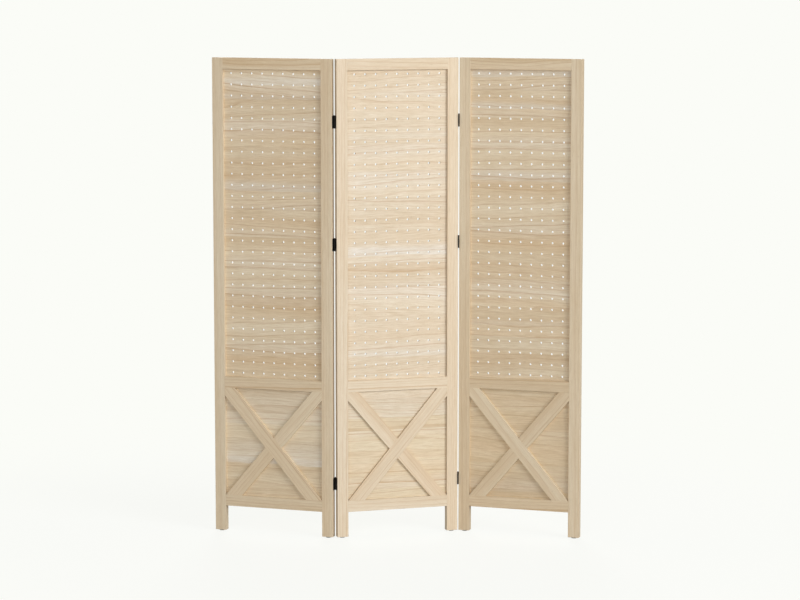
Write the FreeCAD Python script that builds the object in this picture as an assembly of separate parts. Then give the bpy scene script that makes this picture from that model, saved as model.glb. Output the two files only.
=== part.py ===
import FreeCAD, Part
import math
import os

Vector = FreeCAD.Vector
os.makedirs("parts", exist_ok=True)

# A three-panel folding screen. The origin is on the floor under the middle of the
# centre panel, +X runs along that panel, +Y to its back and +Z up. Millimetres.

# Whole screen
panel_width = 380.0
panel_height = 1445.0
frame_thickness = 20.0
rest_fold = 35.0

# Frame members of one panel: two stiles and three rails between them
stile_width = 34.0
top_rail_height = 34.0
middle_rail_height = 34.0
bottom_rail_height = 34.0
middle_rail_level = 445.0
bottom_rail_level = 79.0
arris_radius = 0.5

# Mortise and tenon joints between rails and stiles
tenon_length = 20.0
tenon_thickness = 8.0
tenon_shoulder = 1.0
tenon_end_gap = 1.0
joint_clearance = 0.1

# Boards, held in grooves of the members round them
board_thickness = 5.0
groove_depth = 7.0
board_edge_gap = 1.0
groove_clearance = 0.15

# Peg holes
peg_hole_diameter = 6.5
column_pitch = 33.1
row_pitch = 33.6
least_side_margin = 20.0
least_end_margin = 10.0

# Cross braces on both faces of the lower board
brace_width = 40.0
brace_top_run = 31.0
brace_chamfer = 0.4

# Butt hinges between the panel edges
leaf_height = 38.0
leaf_reach = 15.0
leaf_thickness = 0.8
leaf_gap = 0.4
leaf_corner_radius = 2.0
knuckle_radius = 2.0
knuckle_count = 5
knuckle_gap = 0.3
pin_radius = 1.0
pin_clearance = 0.05
pin_head_radius = 1.7
pin_head_height = 0.8
pin_head_round = 0.4
upper_hinge_drop = 187.0
middle_hinge_drop = 554.0
lower_hinge_rise = 165.0

# Countersunk hinge screws
screw_radius = 1.2
screw_length = 14.0
screw_tip_length = 3.0
screw_tip_radius = 0.2
screw_spacing = 22.0
screw_clearance = 0.05
slot_width = 0.5
slot_length = 2.4
slot_depth = 0.5

# Nail-on floor glides
glide_radius = 8.0
glide_height = 3.0
glide_round = 1.2
glide_nail_radius = 1.2
glide_nail_length = 14.0

# How far cutting shapes run past what they cut, and how near counts as touching
overrun = 1.0
touch = 0.001

# Heights and widths that follow from the sizes above
top_rail_level = panel_height - top_rail_height
upper_window = (middle_rail_level + middle_rail_height, top_rail_level)
lower_window = (bottom_rail_level + bottom_rail_height, middle_rail_level)
window_half_width = panel_width / 2 - stile_width
panel_gap = 2 * leaf_thickness + leaf_gap
pivot_x = (panel_width + panel_gap) / 2
pivot_y = frame_thickness / 2 + knuckle_radius
hinge_levels = {
    "upper": panel_height - upper_hinge_drop,
    "middle": panel_height - middle_hinge_drop,
    "lower": lower_hinge_rise,
}


def block(x_span, y_span, z_span):
    """A box from its two limits along each axis, given in either order."""
    low = Vector(min(x_span), min(y_span), min(z_span))
    high = Vector(max(x_span), max(y_span), max(z_span))
    size = high - low
    return Part.makeBox(size.x, size.y, size.z, low)


def rounded_block(x_span, y_span, z_span, along=None):
    """A box with its arrises eased: all of them, or only those that run along one direction."""
    body = block(x_span, y_span, z_span)
    edges = body.Edges
    if along is not None:
        edges = [e for e in edges if abs(e.tangentAt(e.FirstParameter).dot(along)) > 1 - touch]
    return body.makeFillet(arris_radius, edges)


def half_span(half, extra=0):
    return (-half - extra, half + extra)


def rail_levels():
    return {
        "top_rail": (top_rail_level, panel_height),
        "middle_rail": (middle_rail_level, middle_rail_level + middle_rail_height),
        "bottom_rail": (bottom_rail_level, bottom_rail_level + bottom_rail_height),
    }


def tenon_span(levels):
    """Lower and upper face of the tenon on a rail, clear of the grooves in its edges."""
    inset = groove_depth + tenon_shoulder
    return (levels[0] + inset, levels[1] - inset)


def board_groove(window):
    """The space that the stiles and rails leave for a board and its play."""
    return block(
        half_span(window_half_width, groove_depth),
        half_span(board_thickness / 2, groove_clearance),
        (window[0] - groove_depth, window[1] + groove_depth),
    )


def glide_x(side):
    return side * (panel_width / 2 - stile_width / 2)


def stile(side):
    """One upright of a panel centred on the Z axis. side is -1 for its left, 1 for its right."""
    inner = side * window_half_width
    outer = side * panel_width / 2
    body = rounded_block((inner, outer), half_span(frame_thickness / 2), (glide_height, panel_height))
    for window in (upper_window, lower_window):
        body = body.cut(board_groove(window))
    for levels in rail_levels().values():
        low, high = tenon_span(levels)
        mortise = block(
            (inner - side * overrun, inner + side * (tenon_length + tenon_end_gap)),
            half_span(tenon_thickness / 2, joint_clearance),
            (low - joint_clearance, high + joint_clearance),
        )
        body = body.cut(mortise)
    nail_hole = Part.makeCylinder(
        glide_nail_radius + joint_clearance,
        glide_nail_length + tenon_end_gap,
        Vector(glide_x(side), 0, glide_height),
    )
    return body.cut(nail_hole)


def rail(levels):
    """A cross member with a tenon at each end and grooves where boards meet it."""
    y_span = half_span(frame_thickness / 2)
    body = rounded_block(half_span(window_half_width), y_span, levels, Vector(1, 0, 0))
    tenons = block(
        half_span(window_half_width, tenon_length),
        half_span(tenon_thickness / 2),
        tenon_span(levels),
    )
    body = body.fuse(tenons).removeSplitter()
    for window in (upper_window, lower_window):
        groove = board_groove(window)
        if groove.BoundBox.ZMin < levels[1] and groove.BoundBox.ZMax > levels[0]:
            body = body.cut(groove)
    return body


def board(window):
    """A plain board that fills a window and enters the grooves round it."""
    tongue = groove_depth - board_edge_gap
    return block(
        half_span(window_half_width, tongue),
        half_span(board_thickness / 2),
        (window[0] - tongue, window[1] + tongue),
    )


def hole_grid(window):
    """Centres of the peg holes: as many columns and rows as fit, centred in the window."""
    width = 2 * window_half_width
    height = window[1] - window[0]
    columns = int((width - 2 * least_side_margin) // column_pitch) + 1
    rows = int((height - 2 * least_end_margin) // row_pitch) + 1
    middle = (window[0] + window[1]) / 2
    centres = []
    for row in range(rows):
        for column in range(columns):
            x = (column - (columns - 1) / 2) * column_pitch
            z = middle + (row - (rows - 1) / 2) * row_pitch
            centres.append(Vector(x, 0, z))
    return centres


def pegboard():
    through = board_thickness + 2 * overrun
    back = Vector(0, through / 2, 0)
    drills = []
    for centre in hole_grid(upper_window):
        drills.append(Part.makeCylinder(peg_hole_diameter / 2, through, centre + back, Vector(0, -1, 0)))
    return board(upper_window).cut(Part.makeCompound(drills))


def clip(outline, point, keep):
    """The part of a convex outline on the side of the line through point that keep points to."""
    result = []
    for start, end in zip(outline, outline[1:] + outline[:1]):
        reach_start = (start - point).dot(keep)
        reach_end = (end - point).dot(keep)
        if reach_start >= 0:
            result.append(start)
        if reach_start * reach_end < 0:
            result.append(start + (end - start) * (reach_start / (reach_start - reach_end)))
    return result


def brace_outlines(mirror):
    """Outlines in the XZ plane of the three lengths of a cross: one long, two short.

    The outer edge of each diagonal runs to a bottom corner of the window. The long diagonal
    falls from left to right, or from right to left where mirror is -1.
    """
    low, high = lower_window
    half = window_half_width
    window = [Vector(-half, 0, low), Vector(half, 0, low), Vector(half, 0, high), Vector(-half, 0, high)]
    fall = Vector(2 * half - brace_top_run, 0, low - high).normalize()
    out = Vector(-fall.z, 0, fall.x)
    corner = Vector(half, 0, low)
    long_brace = clip(window, corner, -out)
    long_brace = clip(long_brace, corner - out * brace_width, out)
    other_out = Vector(-out.x, 0, out.z)
    other_corner = Vector(-half, 0, low)
    strip = clip(window, other_corner, -other_out)
    strip = clip(strip, other_corner - other_out * brace_width, other_out)
    upper = clip(strip, corner, out)
    lower = clip(strip, corner - out * brace_width, -out)
    outlines = {"long": long_brace, "upper_short": upper, "lower_short": lower}
    for name, points in outlines.items():
        outlines[name] = [Vector(mirror * p.x, 0, p.z) for p in points]
    return outlines


def brace(points, face):
    """A length of brace between the board and one face of the frame: -1 for front, 1 for back."""
    inner = face * board_thickness / 2
    outer = face * frame_thickness / 2
    start = [Vector(p.x, inner, p.z) for p in points]
    outline = Part.Face(Part.makePolygon(start + start[:1]))
    body = outline.extrude(Vector(0, outer - inner, 0))
    shown = [e for e in body.Edges if all(abs(v.Y - outer) < touch for v in e.Vertexes)]
    return body.makeChamfer(brace_chamfer, shown)


def glides():
    """Two floor glides, each a soft-edged disc with its nail."""
    pieces = []
    for side in (-1, 1):
        foot = Vector(glide_x(side), 0, 0)
        disc = Part.makeCylinder(glide_radius, glide_height, foot)
        lower_rim = [e for e in disc.Edges if all(abs(v.Z) < touch for v in e.Vertexes)]
        disc = disc.makeFillet(glide_round, lower_rim)
        nail = Part.makeCylinder(glide_nail_radius, glide_height / 2 + glide_nail_length,
                                 foot + Vector(0, 0, glide_height / 2))
        pieces.append(disc.fuse(nail).removeSplitter())
    return Part.makeCompound(pieces)


def panel_pieces(mirror):
    """Every piece of one panel except its hinges, with the panel centred on the Z axis."""
    pieces = {"left_stile": stile(-1), "right_stile": stile(1)}
    for name, levels in rail_levels().items():
        pieces[name] = rail(levels)
    pieces["pegboard"] = pegboard()
    pieces["lower_board"] = board(lower_window)
    for face_name, face in (("front", -1), ("back", 1)):
        for length_name, points in brace_outlines(mirror).items():
            pieces[f"{face_name}_{length_name}_brace"] = brace(points, face)
    pieces["glides"] = glides()
    return pieces


# Hinges are drawn closed round a pin on the Z axis, with the panels' shared face plane at
# y = -knuckle_radius. hand is 1 for the leaf on the +X side and -1 for the other.

def knuckle_spans():
    length = (leaf_height - (knuckle_count - 1) * knuckle_gap) / knuckle_count
    starts = [-leaf_height / 2 + i * (length + knuckle_gap) for i in range(knuckle_count)]
    return [(start, start + length) for start in starts]


def leaf_screw_places():
    y = -knuckle_radius - leaf_reach / 2
    return [(y, z) for z in half_span(screw_spacing / 2)]


def leaf(hand):
    """A hinge leaf. The +X leaf has the first, third and fifth knuckles, the other the rest."""
    near = hand * leaf_gap / 2
    far = hand * panel_gap / 2
    notch = math.sqrt((knuckle_radius + knuckle_gap) ** 2 - (leaf_gap / 2) ** 2)
    end = -knuckle_radius - leaf_reach
    plate = block((near, far), (end, -notch), half_span(leaf_height / 2))
    ends = [e for e in plate.Edges if all(abs(v.Y - end) < touch for v in e.Vertexes)]
    corners = [e for e in ends if abs(e.tangentAt(e.FirstParameter).x) > 1 - touch]
    body = plate.makeFillet(leaf_corner_radius, corners)
    first = 0 if hand > 0 else 1
    for low, high in knuckle_spans()[first::2]:
        barrel = Part.makeCylinder(knuckle_radius, high - low, Vector(0, 0, low))
        wrap = block((near, far), (-notch - overrun, 0), (low, high))
        body = body.fuse(wrap).fuse(barrel)
    body = body.removeSplitter()
    bore = Part.makeCylinder(pin_radius + pin_clearance, leaf_height + 2 * overrun,
                             Vector(0, 0, -leaf_height / 2 - overrun))
    body = body.cut(bore)
    for y, z in leaf_screw_places():
        sink = Part.makeCone(
            screw_radius + leaf_thickness + screw_clearance,
            screw_radius + screw_clearance,
            leaf_thickness,
            Vector(near, y, z),
            Vector(hand, 0, 0),
        )
        body = body.cut(sink)
    return body


def hinge_pin():
    """A pin with a soft-edged head at each end of the barrel."""
    body = Part.makeCylinder(pin_radius, leaf_height, Vector(0, 0, -leaf_height / 2))
    for end in (-1, 1):
        head = Part.makeCylinder(pin_head_radius, pin_head_height, Vector(0, 0, end * leaf_height / 2),
                                 Vector(0, 0, end))
        tip = end * (leaf_height / 2 + pin_head_height)
        rim = [e for e in head.Edges if all(abs(v.Z - tip) < touch for v in e.Vertexes)]
        body = body.fuse(head.makeFillet(pin_head_round, rim))
    return body.removeSplitter()


def leaf_screws(hand):
    """The two screws of one leaf: countersunk heads with crossed slots, shanks into the wood."""
    pieces = []
    inward = Vector(hand, 0, 0)
    for y, z in leaf_screw_places():
        head_top = Vector(hand * leaf_gap / 2, y, z)
        head = Part.makeCone(screw_radius + leaf_thickness, screw_radius, leaf_thickness, head_top, inward)
        shank_start = head_top + inward * leaf_thickness
        shank_length = screw_length - leaf_thickness - screw_tip_length
        shank = Part.makeCylinder(screw_radius, shank_length, shank_start, inward)
        tip_start = shank_start + inward * shank_length
        tip = Part.makeCone(screw_radius, screw_tip_radius, screw_tip_length, tip_start, inward)
        body = head.fuse(shank).fuse(tip).removeSplitter()
        x_span = (head_top.x - hand * overrun, head_top.x + hand * slot_depth)
        for wide, tall in ((slot_length, slot_width), (slot_width, slot_length)):
            slot = block(x_span, (y - wide / 2, y + wide / 2), (z - tall / 2, z + tall / 2))
            body = body.cut(slot)
        pieces.append(body)
    return Part.makeCompound(pieces)


def pilot_holes(hand):
    """The holes in a stile for the screws of one leaf."""
    depth = screw_length - leaf_thickness + tenon_end_gap
    radius = screw_radius + screw_clearance
    holes = []
    for y, z in leaf_screw_places():
        start = Vector(hand * (panel_gap / 2 - overrun), y, z)
        holes.append(Part.makeCylinder(radius, depth + overrun, start, Vector(hand, 0, 0)))
    return Part.makeCompound(holes)


# The left pin stands behind the screen's left joint and the right pin in front of its right
# joint, so the right joint is the left one turned half round.

def to_joint(shape, side, level):
    """Move hinge hardware from the Z axis to a joint. side is -1 for left, 1 for right."""
    placed = shape.copy()
    placed.translate(Vector(0, 0, level))
    if side > 0:
        placed.rotate(Vector(0, 0, 0), Vector(0, 0, 1), 180)
    placed.translate(Vector(side * pivot_x, -side * pivot_y, 0))
    return placed


def fold(shape, side):
    """Turn a wing's piece about its pin from flat to the angle that the screen stands at."""
    turned = shape.copy()
    turned.rotate(Vector(side * pivot_x, -side * pivot_y, 0), Vector(0, 0, 1), -rest_fold)
    return turned


def joint_pilots(side, hand):
    return [to_joint(pilot_holes(hand), side, level) for level in hinge_levels.values()]


def centre_panel():
    """The middle panel, turned round so that its long front brace falls the other way."""
    pieces = panel_pieces(-1)
    for side, name in ((-1, "left_stile"), (1, "right_stile")):
        pieces[name] = pieces[name].cut(joint_pilots(side, 1))
    return {f"centre_panel_{name}": shape for name, shape in pieces.items()}


def wing(side):
    """The left or right panel, folded at its joint."""
    pieces = panel_pieces(1)
    for shape in pieces.values():
        shape.translate(Vector(2 * side * pivot_x, 0, 0))
    hinge_stile = "right_stile" if side < 0 else "left_stile"
    pieces[hinge_stile] = pieces[hinge_stile].cut(joint_pilots(side, -1))
    prefix = "left_panel" if side < 0 else "right_panel"
    return {f"{prefix}_{name}": fold(shape, side) for name, shape in pieces.items()}


def hinges():
    """Leaves, pins and screws of all six hinges."""
    pieces = {}
    centre_screws = []
    for side, joint in ((-1, "left"), (1, "right")):
        wing_screws = []
        pins = []
        for name, level in hinge_levels.items():
            pieces[f"{joint}_{name}_hinge_centre_leaf"] = to_joint(leaf(1), side, level)
            pieces[f"{joint}_{name}_hinge_wing_leaf"] = fold(to_joint(leaf(-1), side, level), side)
            pins.append(to_joint(hinge_pin(), side, level))
            centre_screws.append(to_joint(leaf_screws(1), side, level))
            wing_screws.append(fold(to_joint(leaf_screws(-1), side, level), side))
        pieces[f"{joint}_hinge_pins"] = Part.makeCompound(pins)
        pieces[f"{joint}_panel_hinge_screws"] = Part.makeCompound(wing_screws)
    pieces["centre_panel_hinge_screws"] = Part.makeCompound(centre_screws)
    return pieces


nodes = {**wing(-1), **centre_panel(), **wing(1), **hinges()}
for node_name, node_shape in nodes.items():
    node_shape.exportStep(f"parts/{node_name}.step")
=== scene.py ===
import math
import bpy
import numpy as np
from mathutils import Euler, Matrix, Vector


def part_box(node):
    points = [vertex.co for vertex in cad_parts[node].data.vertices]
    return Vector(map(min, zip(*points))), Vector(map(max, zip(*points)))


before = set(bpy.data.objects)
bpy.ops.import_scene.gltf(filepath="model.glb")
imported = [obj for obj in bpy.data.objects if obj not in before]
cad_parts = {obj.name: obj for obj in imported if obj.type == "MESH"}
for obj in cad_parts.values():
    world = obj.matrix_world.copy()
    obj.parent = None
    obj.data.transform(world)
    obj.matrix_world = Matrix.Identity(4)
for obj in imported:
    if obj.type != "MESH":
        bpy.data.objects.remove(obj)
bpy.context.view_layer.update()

# A folding screen of three panels. Every CAD solid is kept, and gets a wood, lacquer or plastic of its own.
print("frame loaded:", len(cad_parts), "nodes")
trunkSeed = 11
rng = np.random.default_rng(trunkSeed)


# an sRGB colour of 0 to 255 as the linear colour that a socket holds: ((c + 0.055) / 1.055) ^ 2.4
def paint(red, green, blue):
    def linear(level):
        level = level / 255
        return level / 12.92 if level < 0.04045 else ((level + 0.055) / 1.055) ** 2.4
    return linear(red), linear(green), linear(blue), 1.0


# links a socket, or sets a plain value on it
def feed(tree, target, source):
    if isinstance(source, bpy.types.NodeSocket):
        tree.links.new(source, target)
    else:
        target.default_value = source


def calc(tree, operation, *terms, clamp=False):
    made = tree.nodes.new("ShaderNodeMath")
    made.operation = operation
    made.use_clamp = clamp
    for target, term in zip(made.inputs, terms):
        feed(tree, target, term)
    return made.outputs[0]


def vectorCalc(tree, operation, *terms):
    made = tree.nodes.new("ShaderNodeVectorMath")
    made.operation = operation
    for target, term in zip(made.inputs, terms):
        feed(tree, target, term)
    return made.outputs["Value" if operation in ("LENGTH", "DOT_PRODUCT") else "Vector"]


def scaled(tree, vector, factor):
    made = tree.nodes.new("ShaderNodeVectorMath")
    made.operation = "SCALE"
    feed(tree, made.inputs[0], vector)
    feed(tree, made.inputs["Scale"], factor)
    return made.outputs[0]


# a value carried from one span to another, straight or with soft ends
def remap(tree, value, fromLow, fromHigh, toLow=0.0, toHigh=1.0, smooth=False):
    made = tree.nodes.new("ShaderNodeMapRange")
    made.interpolation_type = "SMOOTHSTEP" if smooth else "LINEAR"
    for target, term in zip(made.inputs, (value, fromLow, fromHigh, toLow, toHigh)):
        feed(tree, target, term)
    return made.outputs[0]


mixInputs, mixOutput = (0, 6, 7), 2  # the Mix node's factor and two colours, and the colour that comes out


def mixColour(tree, factor, first, second, way="MIX"):
    made = tree.nodes.new("ShaderNodeMix")
    made.data_type = "RGBA"
    made.blend_type = way
    for place, term in zip(mixInputs, (factor, first, second)):
        feed(tree, made.inputs[place], term)
    return made.outputs[mixOutput]


# noise between 0 and 1 at a point stretched by three scales per metre
def noise(tree, point, stretch, detail=2.0, roughness=0.5, colour=False):
    made = tree.nodes.new("ShaderNodeTexNoise")
    feed(tree, made.inputs["Vector"], vectorCalc(tree, "MULTIPLY", point, stretch))
    made.inputs["Scale"].default_value = 1.0
    made.inputs["Detail"].default_value = detail
    made.inputs["Roughness"].default_value = roughness
    return made.outputs["Color" if colour else "Fac"]


# noise that pushes a point sideways by up to half a reach: reach * (noise - 0.5), none along the grain
def sideways(tree, point, pattern, reach):
    push = vectorCalc(tree, "SUBTRACT", noise(tree, point, colour=True, **pattern), (0.5, 0.5, 0.5))
    return scaled(tree, vectorCalc(tree, "MULTIPLY", push, (0.0, 1.0, 1.0)), reach)


# inputs are pairs of a name and a first value: a number, a colour, or None for a point
def newGroup(name, inputs, outputs):
    tree = bpy.data.node_groups.new(name, "ShaderNodeTree")
    for label, value in inputs:
        kind = "Float" if isinstance(value, float) else "Vector" if value is None else "Color"
        socket = tree.interface.new_socket(label, in_out="INPUT", socket_type="NodeSocket" + kind)
        if value is not None:
            socket.default_value = value
    for label, kind in outputs:
        tree.interface.new_socket(label, in_out="OUTPUT", socket_type="NodeSocket" + kind)
    return tree, tree.nodes.new("NodeGroupInput").outputs, tree.nodes.new("NodeGroupOutput").inputs


def placeGroup(tree, group, **values):
    made = tree.nodes.new("ShaderNodeGroup")
    made.node_tree = group
    for label, value in values.items():
        feed(tree, made.inputs[label], value)
    return made.outputs


creamWood = {
    "Pale": paint(238, 222, 197), "Tan": paint(211, 180, 138), "Late": paint(203, 163, 114),
    "Blush": paint(232, 205, 172), "Sap": paint(242, 233, 219),
}
honeyWood = {
    "Pale": paint(240, 222, 192), "Tan": paint(208, 175, 129), "Late": paint(196, 155, 104),
    "Blush": paint(230, 202, 165), "Sap": paint(242, 232, 215),
}
stileWood = {"Ring Width": 0.0066, "Wander": 0.006, "Rings": 0.6, "Bands": 0.26, "Fibre": 0.24, "Pores": 0.3}
railWood = {"Ring Width": 0.0078, "Wander": 0.016, "Rings": 0.72, "Bands": 0.32, "Fibre": 0.24, "Pores": 0.3}
braceWood = {"Ring Width": 0.007, "Wander": 0.008, "Rings": 0.62, "Bands": 0.34, "Fibre": 0.22, "Pores": 0.3}
archedWood = {**railWood, "Wander": 0.056, "Rings": 1.05, "Bands": 0.55}  # the wings' top rails
archedTone = 0.045
woodFinish = {"Specular IOR Level": 0.32, "IOR": 1.45}
woodRelief = {"strength": 0.35, "distance": 0.00025}

patterns = {  # scales per metre of each pattern in the wood, along and across the grain
    "bend": {"stretch": (2.4, 12.0, 12.0), "roughness": 0.4},
    "ripple": {"stretch": (5.5, 48.0, 48.0)},
    "band": {"stretch": (0.8, 17.0, 17.0)},
    "flush": {"stretch": (0.8, 19.0, 19.0)},
    "mottle": {"stretch": (24.0, 300.0, 300.0), "detail": 3.0, "roughness": 0.65},
    "fibre": {"stretch": (9.0, 520.0, 520.0), "detail": 3.0, "roughness": 0.6},
    "thread": {"stretch": (26.0, 1900.0, 1900.0)},
    "pores": {"stretch": (95.0, 2300.0, 2300.0), "detail": 1.0},
}
timberLook = {  # edges are where a soft step begins and ends; a ring's dark line ends at lateEnd of its width
    "rippleReach": 0.0045, "unevenScale": 45.0, "unevenRings": 2.4,
    "darkening": 6.0, "lateEnd": 0.94, "rarity": 2.0, "faintest": 0.2, "boldest": 1.5,
    "flatSides": (0.05, 0.5), "flatShare": 0.3,
    "bandEdges": (0.3, 0.7), "flushEdges": (0.42, 0.66), "flushShift": (3.1, 0.7, 0.2),
    "sapwoodEdges": (0.1, 0.118),
    "poreEdges": (0.61, 0.72), "earlyEdges": (0.1, 0.55), "latePores": 0.25,
    "poreTint": (0.55, 0.45, 0.36, 1.0),
    "threadShare": 0.5, "channelPowers": (0.85, 1.15, 1.7),
    "rough": 0.56, "fibreRough": 0.16, "poreRough": 0.2,
    "fibreHeight": 0.5, "threadHeight": 0.35, "poreDepth": 0.8, "lateHeight": 0.25,
}
surfaceOutputs = [("Color", "Color"), ("Roughness", "Float"), ("Height", "Float")]


# Solid pale timber. The point runs along the grain in X, with the tree's pith on the X axis.
# A slow noise bends the trunk. Ring number = distance from the pith / ring width + an uneven part,
# so a face cut nearly along the rings shows arches, and one cut across them shows lines.
# A ring darkens as a power of its share grown, and ends sharply. Some rings are faint.
def timberGroup():
    look = timberLook
    numbers = [*stileWood.items(), ("Sapwood", 0.0), ("Streak", 0.0), ("Tone", 0.0)]
    inputs = [("Point", None), *numbers, *creamWood.items()]
    tree, given, result = newGroup("timber grain", inputs, surfaceOutputs)
    point = given["Point"]
    bent = vectorCalc(tree, "ADD", point, sideways(tree, point, patterns["bend"], given["Wander"]))
    bent = vectorCalc(tree, "ADD", bent, sideways(tree, point, patterns["ripple"], look["rippleReach"]))
    radius = vectorCalc(tree, "LENGTH", vectorCalc(tree, "MULTIPLY", bent, (0.0, 1.0, 1.0)))
    uneven = tree.nodes.new("ShaderNodeTexNoise")
    uneven.noise_dimensions = "1D"
    feed(tree, uneven.inputs["W"], calc(tree, "MULTIPLY", radius, look["unevenScale"]))
    uneven.inputs["Scale"].default_value = 1.0
    count = calc(tree, "DIVIDE", radius, given["Ring Width"])
    count = calc(tree, "ADD", count, calc(tree, "MULTIPLY", uneven.outputs["Fac"], look["unevenRings"]))
    part = calc(tree, "FRACT", count)
    chance = tree.nodes.new("ShaderNodeTexWhiteNoise")
    chance.noise_dimensions = "1D"
    feed(tree, chance.inputs["W"], calc(tree, "FLOOR", count))
    late = calc(tree, "POWER", part, look["darkening"])
    late = calc(tree, "MULTIPLY", late, remap(tree, part, look["lateEnd"], 1.0, 1.0, 0.0, True))
    strong = calc(tree, "POWER", chance.outputs["Value"], look["rarity"])
    strong = remap(tree, strong, 0.0, 1.0, look["faintest"], look["boldest"])
    late = calc(tree, "MULTIPLY", late, strong)
    # where the face lies along a ring the line would be a wide stain, so it is fainter there
    sides = tree.nodes.new("ShaderNodeSeparateXYZ")
    feed(tree, sides.inputs[0], bent)
    steep = calc(tree, "DIVIDE", calc(tree, "ABSOLUTE", sides.outputs["Z"]), radius)
    late = calc(tree, "MULTIPLY", late, remap(tree, steep, *look["flatSides"], look["flatShare"], 1.0, True))
    # wide soft bands, fine fibre and short open pores
    band = remap(tree, noise(tree, bent, **patterns["band"]), *look["bandEdges"], smooth=True)
    elsewhere = vectorCalc(tree, "ADD", point, look["flushShift"])
    flush = remap(tree, noise(tree, elsewhere, **patterns["flush"]), *look["flushEdges"], smooth=True)
    fibre = noise(tree, bent, **patterns["fibre"])
    thread = noise(tree, bent, **patterns["thread"])
    mottle = noise(tree, bent, **patterns["mottle"])
    dash = remap(tree, noise(tree, bent, **patterns["pores"]), *look["poreEdges"], smooth=True)
    pore = calc(tree, "MULTIPLY", dash, remap(tree, part, *look["earlyEdges"], 1.0, look["latePores"]))
    sap = remap(tree, radius, *look["sapwoodEdges"], smooth=True)
    sap = calc(tree, "MAXIMUM", calc(tree, "MULTIPLY", sap, given["Sapwood"]), given["Streak"])
    # colour: pale to blush, then the sapwood, the tan bands and the late rings
    flush = calc(tree, "MULTIPLY", flush, given["Bands"], clamp=True)
    colour = mixColour(tree, flush, given["Pale"], given["Blush"])
    colour = mixColour(tree, sap, colour, given["Sap"])
    colour = mixColour(tree, calc(tree, "MULTIPLY", band, given["Bands"], clamp=True), colour, given["Tan"])
    colour = mixColour(tree, calc(tree, "MULTIPLY", late, given["Rings"], clamp=True), colour, given["Late"])
    # lift = 1 + fibre * (the fine noises, each less a half); darker fibres are browner, so green and
    # blue take higher powers of it, and all three are then scaled by 1 + tone
    lift = calc(tree, "ADD", calc(tree, "SUBTRACT", fibre, 0.5), calc(tree, "SUBTRACT", mottle, 0.5))
    fine = calc(tree, "MULTIPLY", calc(tree, "SUBTRACT", thread, 0.5), look["threadShare"])
    lift = calc(tree, "ADD", lift, fine)
    lift = calc(tree, "ADD", calc(tree, "MULTIPLY", lift, given["Fibre"]), 1.0)
    tone = calc(tree, "ADD", given["Tone"], 1.0)
    shade = tree.nodes.new("ShaderNodeCombineXYZ")
    for target, power in zip(shade.inputs, look["channelPowers"]):
        feed(tree, target, calc(tree, "MULTIPLY", calc(tree, "POWER", lift, power), tone))
    colour = mixColour(tree, 1.0, colour, shade.outputs[0], "MULTIPLY")
    openPore = calc(tree, "MULTIPLY", pore, given["Pores"])
    poreColour = mixColour(tree, 1.0, given["Tan"], look["poreTint"], "MULTIPLY")
    feed(tree, result["Color"], mixColour(tree, openPore, colour, poreColour))
    rough = calc(tree, "ADD", look["rough"], calc(tree, "MULTIPLY", fibre, look["fibreRough"]))
    rough = calc(tree, "ADD", rough, calc(tree, "MULTIPLY", openPore, look["poreRough"]), clamp=True)
    feed(tree, result["Roughness"], rough)
    height = calc(tree, "MULTIPLY", fibre, look["fibreHeight"])
    height = calc(tree, "ADD", height, calc(tree, "MULTIPLY", thread, look["threadHeight"]))
    height = calc(tree, "SUBTRACT", height, calc(tree, "MULTIPLY", pore, look["poreDepth"]))
    feed(tree, result["Height"], calc(tree, "ADD", height, calc(tree, "MULTIPLY", late, look["lateHeight"])))
    return tree


boardStrips = {"Strip Height": 0.085, "Lean": 0.13}
stripSeeds = (3, 90)
stripTrunk = {"along": 9.0, "behind": (0.045, 0.1), "beside": 0.12, "leastBeside": 0.03}
stripJoint = {"jitter": 0.75, "width": 0.0005}


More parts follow.
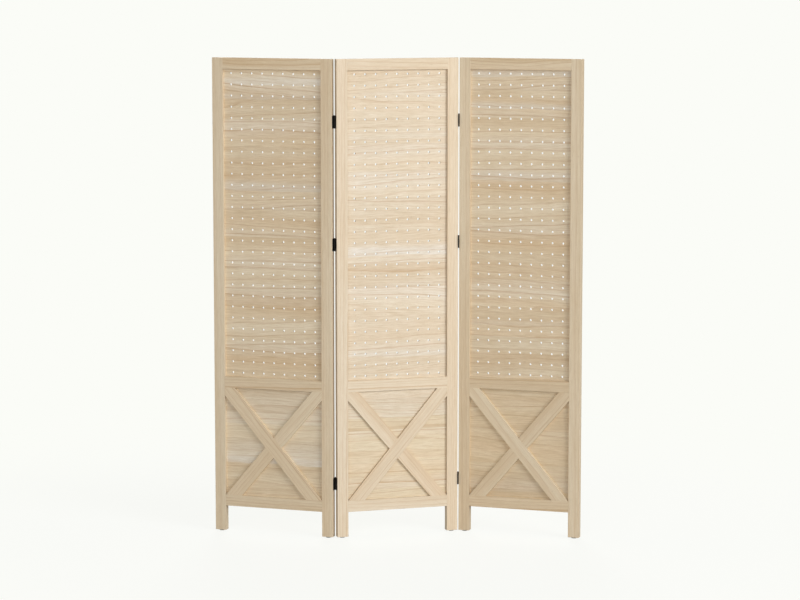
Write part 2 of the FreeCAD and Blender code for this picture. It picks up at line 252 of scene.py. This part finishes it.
# Boards glued up from strips. Strip number = height / strip height, jittered. Each strip takes the
# point to a trunk of its own: moved along, 45 to 100 mm behind the face, off to one side, and leaning.
def stripGroup():
    inputs = [("Point", None), *boardStrips.items(), ("Seed", 0.0)]
    outputs = [("Point", "Vector"), ("Tone", "Float"), ("Seam", "Float")]
    tree, given, result = newGroup("glued strips", inputs, outputs)
    parts = tree.nodes.new("ShaderNodeSeparateXYZ")
    feed(tree, parts.inputs[0], given["Point"])
    x, y, z = parts.outputs
    level = calc(tree, "ADD", calc(tree, "DIVIDE", z, given["Strip Height"]), given["Seed"])
    cells = tree.nodes.new("ShaderNodeTexVoronoi")
    edges = tree.nodes.new("ShaderNodeTexVoronoi")
    for made in (cells, edges):
        made.voronoi_dimensions = "1D"
        feed(tree, made.inputs["W"], level)
        made.inputs["Scale"].default_value = 1.0
        made.inputs["Randomness"].default_value = stripJoint["jitter"]
    edges.feature = "DISTANCE_TO_EDGE"
    chance = tree.nodes.new("ShaderNodeSeparateColor")
    feed(tree, chance.inputs[0], cells.outputs["Color"])
    red, green, blue = chance.outputs
    along = calc(tree, "ADD", x, calc(tree, "MULTIPLY", red, stripTrunk["along"]))
    deep = calc(tree, "ADD", y, remap(tree, blue, 0.0, 1.0, *stripTrunk["behind"]))
    lean = calc(tree, "MULTIPLY", calc(tree, "SUBTRACT", green, 0.5), given["Lean"])
    across = calc(tree, "ADD", z, calc(tree, "MULTIPLY", x, lean))
    middle = calc(tree, "SUBTRACT", cells.outputs["W"], given["Seed"])
    across = calc(tree, "SUBTRACT", across, calc(tree, "MULTIPLY", middle, given["Strip Height"]))
    aside = calc(tree, "SUBTRACT", red, 0.5)
    least = calc(tree, "MULTIPLY", calc(tree, "SIGN", aside), stripTrunk["leastBeside"])
    aside = calc(tree, "ADD", calc(tree, "MULTIPLY", aside, stripTrunk["beside"]), least)
    moved = tree.nodes.new("ShaderNodeCombineXYZ")
    for target, source in zip(moved.inputs, (along, deep, calc(tree, "ADD", across, aside))):
        feed(tree, target, source)
    feed(tree, result["Point"], moved.outputs[0])
    feed(tree, result["Tone"], remap(tree, blue, 0.0, 1.0, -1.0, 1.0))
    edgeGap = calc(tree, "MULTIPLY", edges.outputs["Distance"], given["Strip Height"])
    feed(tree, result["Seam"], remap(tree, edgeGap, 0.0, stripJoint["width"], 1.0, 0.0, True))
    return tree


timber = timberGroup()
strips = stripGroup()
print("wood groups made")


# a material with a bare Principled shader, whose plain values are set on its own sockets
def newMaterial(name, **values):
    made = bpy.data.materials.new(name)
    made.use_nodes = True
    tree = made.node_tree
    shader = next(n for n in tree.nodes if n.type == "BSDF_PRINCIPLED")
    for label, value in values.items():
        shader.inputs[label].default_value = value
    return made, tree, shader


# links a colour, a roughness and a height, as bumps, to a shader
def surface(tree, shader, colour, roughness, height, relief):
    feed(tree, shader.inputs["Base Color"], colour)
    feed(tree, shader.inputs["Roughness"], roughness)
    bump = tree.nodes.new("ShaderNodeBump")
    bump.inputs["Strength"].default_value = relief["strength"]
    bump.inputs["Distance"].default_value = relief["distance"]
    feed(tree, bump.inputs["Height"], height)
    feed(tree, shader.inputs["Normal"], bump.outputs[0])


# Object coordinates turned to a piece's own axes: p' = R (p - centre) + shift
def mapped(tree, turn, centre=(0, 0, 0), shift=(0, 0, 0)):
    source = tree.nodes.new("ShaderNodeTexCoord")
    place = tree.nodes.new("ShaderNodeMapping")
    place.inputs["Rotation"].default_value = turn.to_euler("XYZ")
    place.inputs["Location"].default_value = Vector(shift) - turn @ Vector(centre)
    feed(tree, place.inputs["Vector"], source.outputs["Object"])
    return place.outputs[0]


# puts one material on every slot of a CAD node
def dress(node, material):
    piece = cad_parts[node]
    if not piece.material_slots:
        piece.data.materials.append(material)
    for slot in piece.material_slots:
        slot.material = material


# painted shade: the faces of a length that look sideways or up are darkened by this tone
paintedSideShade = {"tone": -0.18, "edges": (0.3, 0.8)}


# mask of a length's sides, where a painted shade darkens the faces that look sideways or up: 1 - |n . the
# panel's normal|
def sideShadeMask(tree, panelTurn):
    source = tree.nodes.new("ShaderNodeTexCoord")
    front = panelTurn.transposed() @ Vector((0, 1, 0))
    facing = vectorCalc(tree, "DOT_PRODUCT", source.outputs["Normal"], front)
    away = calc(tree, "SUBTRACT", 1.0, calc(tree, "ABSOLUTE", facing))
    return remap(tree, away, *paintedSideShade["edges"], smooth=True)


# spans in metres of where a length's pith lies from the middle of the piece, and of its lean in radians
trunk = {"along": (1, 60), "behind": (0.03, 0.075), "beside": (0.012, 0.06), "lean": (-0.012, 0.012)}
toneSpan = (-0.02, 0.02)


# one length of timber with a trunk of its own, its pith behind the face
def solidTimber(node, panelTurn, grainTurn, wood, palette, panelTone):
    low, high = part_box(node)
    made, tree, shader = newMaterial(node + " wood", **woodFinish)
    turn = grainTurn @ panelTurn
    lean = Euler((0, rng.uniform(*trunk["lean"]), rng.uniform(*trunk["lean"]))).to_matrix()
    side = rng.uniform(*trunk["beside"]) * rng.choice((-1, 1))
    shift = (rng.uniform(*trunk["along"]), rng.uniform(*trunk["behind"]), side)
    point = mapped(tree, lean @ turn, (low + high) / 2, shift)
    # painted shade on the sides of the length, then the panel's tone
    tone = calc(tree, "MULTIPLY", sideShadeMask(tree, panelTurn), paintedSideShade["tone"])
    tone = calc(tree, "ADD", tone, panelTone + rng.uniform(*toneSpan))
    grain = placeGroup(tree, timber, Point=point, Tone=tone, **wood, **palette)
    surface(tree, shader, grain["Color"], grain["Roughness"], grain["Height"], woodRelief)
    dress(node, made)


boardWood = {"Ring Width": 0.0078, "Wander": 0.028, "Fibre": 0.4, "Pores": 0.32}
boardGlue = {"seam": 0.35, "seamDepth": 0.6, "colour": paint(178, 146, 108)}
# painted shade: the walls of the peg holes are darkened by this tone
holeWallShade = -0.15  # the walls of the peg holes
boards = {  # strength of rings, bands, strips and sapwood; streaks as height, thickness, slope and strength
    "left_panel_pegboard": {
        "rings": 0.74, "bands": 0.46, "strips": 0.044, "sapwood": 0.45, "tone": 0.02,
        "streaks": (
            (1.322, 0.02, 0.0, 0.75), (1.362, 0.03, 0.01, 0.7),
            (1.046, 0.028, -0.01, 0.8), (0.70, 0.02, 0.02, 0.3),
        ),
    },
    "left_panel_lower_board": {
        "rings": 0.58, "bands": 0.3, "strips": 0.016, "sapwood": 0.1, "tone": 0.012,
        "streaks": ((0.213, 0.03, 0.0, 0.8), (0.235, 0.052, 0.01, 0.45), (0.335, 0.15, 0.01, 0.35)),
    },
    "centre_panel_pegboard": {
        "rings": 0.58, "bands": 0.2, "strips": 0.016, "sapwood": 0.45, "tone": -0.005,
        "streaks": (
            (0.852, 0.034, -0.008, 0.9), (0.546, 0.024, -0.02, 0.5),
            (0.757, 0.014, 0.03, 0.3), (1.205, 0.018, 0.02, 0.25),
        ),
    },
    "centre_panel_lower_board": {
        "rings": 0.82, "bands": 0.28, "strips": 0.022, "sapwood": 0.45, "tone": -0.005,
        "streaks": ((0.36, 0.2, 0.0, 0.45),),
    },
    "right_panel_pegboard": {
        "rings": 0.72, "bands": 0.42, "strips": 0.042, "sapwood": 0.45, "tone": 0.005,
        "streaks": (
            (1.076, 0.034, 0.012, 0.85), (1.292, 0.022, -0.015, 0.7),
            (0.64, 0.018, 0.02, 0.35), (1.389, 0.03, 0.0, 0.7),
        ),
    },
    "right_panel_lower_board": {
        "rings": 0.58, "bands": 0.44, "strips": 0.04, "sapwood": 0.15, "tone": -0.01,
        "streaks": ((0.13, 0.05, 0.03, 0.35),),
    },
}
streakEdge = {
    "waver": {"stretch": (7.0, 30.0, 30.0)}, "reach": 0.016,
    "lower": 0.003, "upperShares": (0.45, 1.3),
}


# mask of the sapwood streaks: 0 to 1 quickly at a streak's lower edge h + s x, back to 0 slowly above it
def sapStreaks(tree, point, streaks):
    parts = tree.nodes.new("ShaderNodeSeparateXYZ")
    feed(tree, parts.inputs[0], point)
    waver = calc(tree, "SUBTRACT", noise(tree, point, **streakEdge["waver"]), 0.5)
    height = calc(tree, "ADD", parts.outputs["Z"], calc(tree, "MULTIPLY", waver, streakEdge["reach"]))
    total = 0.0
    for start, thick, slope, strength in streaks:
        above = calc(tree, "SUBTRACT", height, calc(tree, "MULTIPLY", parts.outputs["X"], slope))
        above = calc(tree, "SUBTRACT", above, start)
        lower = remap(tree, above, 0.0, streakEdge["lower"], 0.0, strength, True)
        fade = [thick * share for share in streakEdge["upperShares"]]
        upper = remap(tree, above, *fade, 1.0, 0.0, True)
        total = calc(tree, "MAXIMUM", total, calc(tree, "MULTIPLY", lower, upper))
    return total


# a thin board of glued strips with the grain lying level
def gluedBoard(node, panelTurn, palette, look):
    low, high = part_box(node)
    centre = (low + high) / 2
    made, tree, shader = newMaterial(node + " wood", **woodFinish)
    point = mapped(tree, panelTurn, (centre.x, centre.y, 0))
    strip = placeGroup(tree, strips, Point=point, Seed=rng.uniform(*stripSeeds), **boardStrips)
    tone = calc(tree, "ADD", calc(tree, "MULTIPLY", strip["Tone"], look["strips"]), look["tone"])
    # painted shade on the walls of the peg holes and on the board's edges
    tone = calc(tree, "ADD", tone, calc(tree, "MULTIPLY", sideShadeMask(tree, panelTurn), holeWallShade))
    sap = remap(tree, strip["Tone"], -1.0, 1.0, 0.0, look["sapwood"])
    streak = sapStreaks(tree, point, look["streaks"])
    wood = {**boardWood, **palette, "Rings": look["rings"], "Bands": look["bands"]}
    grain = placeGroup(tree, timber, Point=strip["Point"], Tone=tone, Sapwood=sap, Streak=streak, **wood)
    seam = calc(tree, "MULTIPLY", strip["Seam"], boardGlue["seam"])
    colour = mixColour(tree, seam, grain["Color"], boardGlue["colour"])
    groove = calc(tree, "MULTIPLY", strip["Seam"], boardGlue["seamDepth"])
    height = calc(tree, "SUBTRACT", grain["Height"], groove)
    surface(tree, shader, colour, grain["Roughness"], height, woodRelief)
    dress(node, made)


panels = {  # degrees from the room's axes, the lean of the long braces in degrees, and the panel's own wood
    "left_panel": {
        "fold": 35, "longBrace": -49.75, "tone": 0.0,
        "palette": honeyWood, "lowerPale": paint(239, 221, 190),
    },
    "centre_panel": {
        "fold": 0, "longBrace": 49.75, "tone": 0.015,
        "palette": creamWood, "lowerPale": paint(236, 219, 189),
    },
    "right_panel": {
        "fold": 35, "longBrace": -49.75, "tone": -0.01,
        "palette": honeyWood, "lowerPale": paint(236, 215, 181),
    },
}
upright = Matrix.Rotation(math.radians(90), 3, "Y")
lying = Matrix.Identity(3)
for panel, values in panels.items():
    panelTurn = Matrix.Rotation(math.radians(values["fold"]), 3, "Z")
    palette, panelTone = values["palette"], values["tone"]
    for member in ("left_stile", "right_stile"):
        solidTimber(f"{panel}_{member}", panelTurn, upright, stileWood, palette, panelTone)
    for member in ("top_rail", "middle_rail", "bottom_rail"):
        arched = member == "top_rail" and values["fold"]
        wood, lift = (archedWood, archedTone) if arched else (railWood, 0.0)
        solidTimber(f"{panel}_{member}", panelTurn, lying, wood, palette, panelTone + lift)
    for member in ("long", "upper_short", "lower_short"):
        angle = values["longBrace"] if member == "long" else -values["longBrace"]
        along = Matrix.Rotation(math.radians(angle), 3, "Y")
        for face in ("front", "back"):
            solidTimber(f"{panel}_{face}_{member}_brace", panelTurn, along, braceWood, palette, panelTone)
    lowerPalette = {**palette, "Pale": values["lowerPale"]}
    for member, boardPalette in (("pegboard", palette), ("lower_board", lowerPalette)):
        node = f"{panel}_{member}"
        gluedBoard(node, panelTurn, boardPalette, boards[node])
print("wood dressed")


leafCoat = {"Peel": 0.7, "Rub": 0.3, "Coat": paint(17, 13, 9), "Under": paint(60, 54, 48)}
pinCoat = {"Peel": 0.3, "Rub": 0.6, "Coat": paint(30, 28, 26), "Under": paint(96, 92, 88)}
screwCoat = {"Peel": 0.2, "Rub": 0.8, "Coat": paint(34, 32, 30), "Under": paint(120, 116, 110)}
leafFinish = {"Specular IOR Level": 0.38}
pinFinish = {"Specular IOR Level": 0.6}
lacquerLook = {
    "peel": {"stretch": (1400.0, 1400.0, 1400.0)},
    "patch": {"stretch": (160.0, 160.0, 90.0), "detail": 3.0, "roughness": 0.6},
    "rub": {"stretch": (520.0, 520.0, 260.0), "detail": 4.0, "roughness": 0.65},
    "rubEdges": (0.62, 0.78), "rough": 0.24, "patchRough": 0.22, "rubRough": 0.3,
}
lacquerRelief = {"strength": 0.25, "distance": 0.00008}


# sprayed lacquer on small metal: a fine orange peel, dull patches, and spots rubbed to the undercoat
def lacquerGroup():
    look = lacquerLook
    tree, given, result = newGroup("black lacquer", [("Point", None), *leafCoat.items()], surfaceOutputs)
    point = given["Point"]
    peel = noise(tree, point, **look["peel"])
    patch = noise(tree, point, **look["patch"])
    rub = remap(tree, noise(tree, point, **look["rub"]), *look["rubEdges"], smooth=True)
    rub = calc(tree, "MULTIPLY", rub, given["Rub"])
    feed(tree, result["Color"], mixColour(tree, rub, given["Coat"], given["Under"]))
    rough = calc(tree, "ADD", look["rough"], calc(tree, "MULTIPLY", patch, look["patchRough"]))
    feed(tree, result["Roughness"], calc(tree, "ADD", rough, calc(tree, "MULTIPLY", rub, look["rubRough"])))
    feed(tree, result["Height"], calc(tree, "MULTIPLY", peel, given["Peel"]))
    return tree


lacquer = lacquerGroup()


def lacqueredMetal(name, values, finish):
    made, tree, shader = newMaterial(name, **finish)
    coat = placeGroup(tree, lacquer, Point=mapped(tree, lying), **values)
    surface(tree, shader, coat["Color"], coat["Roughness"], coat["Height"], lacquerRelief)
    return made


glideLook = {
    "light": paint(184, 183, 180), "dark": paint(160, 159, 157), "shadeEdges": (0.35, 0.7),
    "smooth": 0.42, "rough": 0.58, "roughEdges": (0.3, 0.7),
    "cloud": {"stretch": (130.0, 130.0, 130.0), "detail": 3.0, "roughness": 0.6},
    "grain": {"stretch": (2600.0, 2600.0, 2600.0), "roughness": 0.6},
}
glideFinish = {"Specular IOR Level": 0.4}
glideRelief = {"strength": 0.3, "distance": 0.0001}


# moulded grey plastic with a fine spark-eroded grain and faint clouds
def glidePlastic():
    look = glideLook
    made, tree, shader = newMaterial("glide grey", **glideFinish)
    point = mapped(tree, lying)
    cloud = noise(tree, point, **look["cloud"])
    grain = noise(tree, point, **look["grain"])
    colour = mixColour(tree, remap(tree, cloud, *look["shadeEdges"]), look["light"], look["dark"])
    rough = remap(tree, cloud, *look["roughEdges"], look["smooth"], look["rough"])
    surface(tree, shader, colour, rough, grain, glideRelief)
    return made


hingeBlack = lacqueredMetal("hinge black", leafCoat, leafFinish)
pinBlack = lacqueredMetal("pin black", pinCoat, pinFinish)
screwBlack = lacqueredMetal("screw black", screwCoat, pinFinish)
glideGrey = glidePlastic()
for panel in panels:
    dress(f"{panel}_glides", glideGrey)
    dress(f"{panel}_hinge_screws", screwBlack)
for joint in ("left", "right"):
    dress(f"{joint}_hinge_pins", pinBlack)
    for place in ("upper", "middle", "lower"):
        for part in ("centre", "wing"):
            dress(f"{joint}_{place}_hinge_{part}_leaf", hingeBlack)
print("metal and plastic dressed")


room = {  # seen and bounce are the floor's own shade for the camera and for all other rays
    "radius": 40.0, "sides": 96, "ringShares": (0.04, 0.1, 0.3, 1.0), "seen": 1.0, "bounce": 0.5,
    "shadowReach": 2.2, "shadowShare": 0.3, "glowShare": 0.87,
    "white": paint(251, 252, 247), "nearWhite": paint(254, 255, 251),
}
floorFinish = {"Roughness": 0.9, "Specular IOR Level": 0.1}


# 1 for the rays that show the room as plain white: those of the camera, of gloss and of glass
def whiteRays(tree):
    path = tree.nodes.new("ShaderNodeLightPath")
    seen = calc(tree, "MAXIMUM", path.outputs["Is Camera Ray"], path.outputs["Is Glossy Ray"])
    return path, calc(tree, "MAXIMUM", seen, path.outputs["Is Transmission Ray"])


# a glow of strength 1 laid over a plain shader, by a share, as what the tree puts out
def layWhite(tree, share, plain, glow, outputType):
    blend = tree.nodes.new("ShaderNodeMixShader")
    for target, source in zip(blend.inputs, (share, plain, glow)):
        feed(tree, target, source)
    output = next(n for n in tree.nodes if n.type == outputType)
    feed(tree, output.inputs["Surface"], blend.outputs[0])


# a disc of radius R: x = R cos a, y = R sin a, in rings that are closer near the middle
def makeFloor():
    around = np.linspace(0, 2 * np.pi, room["sides"], endpoint=False)
    rings = room["radius"] * np.array(room["ringShares"])
    points = (rings[:, None, None] * np.stack([np.cos(around), np.sin(around)], 1)).reshape(-1, 2)
    points = np.vstack([[[0, 0]], points])
    places = np.column_stack([points, np.zeros(len(points))])
    step = np.arange(room["sides"])
    following = (step + 1) % room["sides"]
    faces = np.stack([np.zeros_like(step), 1 + step, 1 + following], 1).tolist()
    for ring in range(len(rings) - 1):
        inner, outer = 1 + ring * room["sides"], 1 + (ring + 1) * room["sides"]
        faces += np.stack([inner + step, outer + step, outer + following, inner + following], 1).tolist()
    mesh = bpy.data.meshes.new("floor")
    mesh.from_pydata(places.tolist(), [], faces)
    made = bpy.data.objects.new("floor", mesh)
    bpy.context.scene.collection.objects.link(made)
    material, tree, shader = newMaterial("floor", **floorFinish)
    source = tree.nodes.new("ShaderNodeTexCoord")
    away = vectorCalc(tree, "LENGTH", source.outputs["Object"])
    path, seen = whiteRays(tree)
    dim, bright = (room["bounce"],) * 3 + (1.0,), (room["seen"],) * 3 + (1.0,)
    feed(tree, shader.inputs["Base Color"], mixColour(tree, path.outputs["Is Camera Ray"], dim, bright))
    glow = tree.nodes.new("ShaderNodeEmission")
    glow.inputs["Strength"].default_value = 1.0
    shadowEnds = (room["shadowReach"] * room["shadowShare"], room["shadowReach"])
    far = remap(tree, away, *shadowEnds, smooth=True)
    feed(tree, glow.inputs["Color"], mixColour(tree, far, room["nearWhite"], room["white"]))
    share = remap(tree, far, 0.0, 1.0, room["glowShare"], 1.0)
    share = calc(tree, "MULTIPLY", seen, share)
    layWhite(tree, share, shader.outputs[0], glow.outputs[0], "OUTPUT_MATERIAL")
    mesh.materials.append(material)


makeFloor()

ambient = {"strength": 0.24, "colour": (1.0, 1.0, 1.0, 1.0)}


# soft light from all round, and plain white for the rays that show the room
def makeWorld():
    world = bpy.data.worlds.new("studio")
    bpy.context.scene.world = world
    world.use_nodes = True
    tree = world.node_tree
    soft = next(n for n in tree.nodes if n.type == "BACKGROUND")
    soft.inputs["Color"].default_value = ambient["colour"]
    soft.inputs["Strength"].default_value = ambient["strength"]
    white = tree.nodes.new("ShaderNodeBackground")
    white.inputs["Color"].default_value = room["white"]
    white.inputs["Strength"].default_value = 1.0
    layWhite(tree, whiteRays(tree)[1], soft.outputs[0], white.outputs[0], "OUTPUT_WORLD")


makeWorld()

lamps = {
    "key": {"place": (6.3, -9.3, 5.0), "size": 7.0, "watts": 912.0},
    "leftFill": {"place": (-5.2, -7.4, 2.5), "size": 4.0, "watts": 180.0},
    "backFill": {"place": (1.6, 6.0, 2.6), "size": 3.0, "watts": 190.0},
}
aim = Vector((0, 0, 0.72))
for name, values in lamps.items():
    light = bpy.data.lights.new(name, "AREA")
    light.shape = "DISK"
    light.size = values["size"]
    light.energy = values["watts"]
    lamp = bpy.data.objects.new(name, light)
    lamp.location = values["place"]
    lamp.rotation_euler = (aim - lamp.location).to_track_quat("-Z", "Y").to_euler()
    lamp.visible_camera = False
    bpy.context.scene.collection.objects.link(lamp)
bpy.context.scene.view_settings.view_transform = "Standard"

cameraView = {
    "place": (-2.4302, -8.0933, 1.8239), "tilt": -0.1301, "turn": -0.2928,
    "lens": 127.28, "sensor": 36.0, "reach": 200.0,
}
lens = bpy.data.cameras.new("camera")
lens.sensor_fit = "HORIZONTAL"
lens.sensor_width = cameraView["sensor"]
lens.lens = cameraView["lens"]
lens.clip_end = cameraView["reach"]
camera = bpy.data.objects.new("camera", lens)
camera.location = cameraView["place"]
camera.rotation_euler = (math.pi / 2 + cameraView["tilt"], 0, cameraView["turn"])
bpy.context.scene.collection.objects.link(camera)
bpy.context.scene.camera = camera
print("room, light and camera set")
